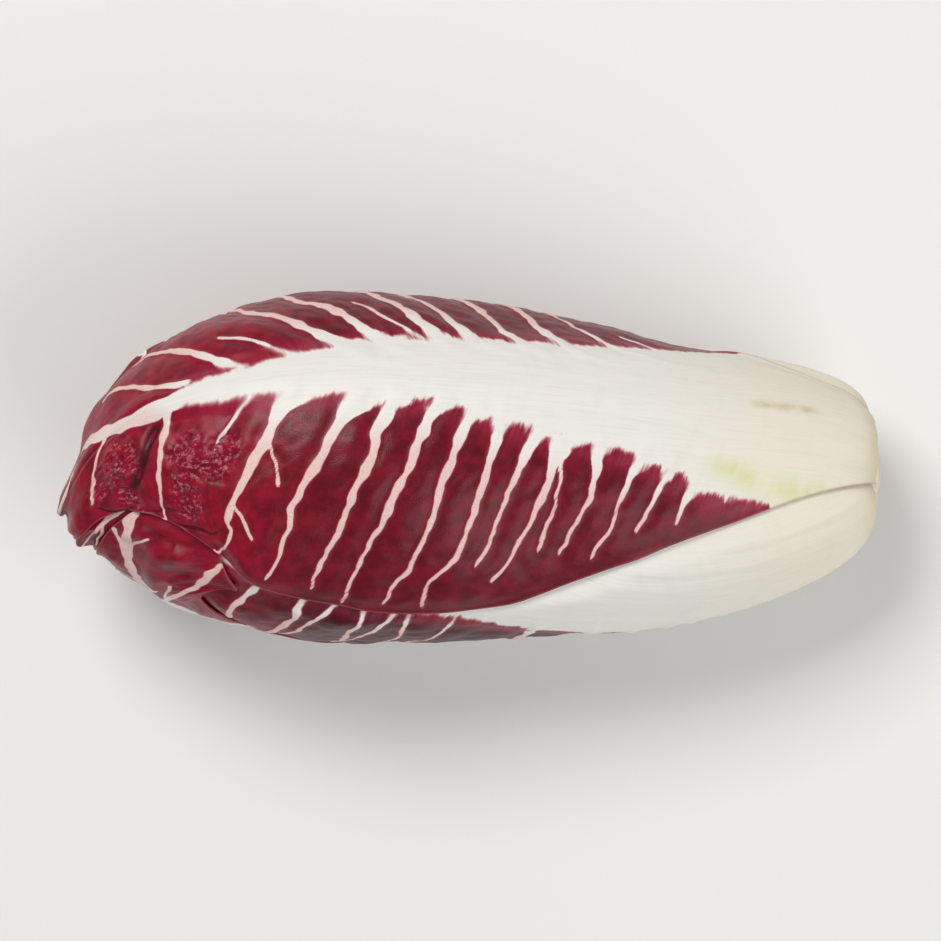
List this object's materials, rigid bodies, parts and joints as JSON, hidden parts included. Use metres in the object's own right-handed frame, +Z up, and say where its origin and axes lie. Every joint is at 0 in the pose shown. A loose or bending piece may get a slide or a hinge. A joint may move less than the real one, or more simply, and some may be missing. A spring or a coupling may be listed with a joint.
{
  "type": "red belgian endive",
  "caption": "Elongated head of red endive lying on its side: white-ribbed dark red leaves wrapped in a tight egg shape round a cut stem.",
  "frame": {"origin": "middle of the underside of the bounding box, on the surface that the head lies on", "axes": "+X towards the cut base, -X towards the tip, +Y across the head, +Z up"},
  "size_m": [0.1594, 0.0698, 0.0624],
  "materials": {
    "leaf": "satin",
    "stem": "matte"
  },
  "bodies": {
    "root": {"leaf_01": "leaf", "leaf_02": "leaf", "leaf_03": "leaf", "leaf_04": "leaf", "leaf_05": "leaf", "leaf_06": "leaf", "leaf_07": "leaf", "leaf_08": "leaf", "leaf_09": "leaf", "leaf_10": "leaf", "leaf_11": "leaf", "leaf_12": "leaf", "leaf_13": "leaf", "stem_core": "stem"}
  },
  "joints": []
}
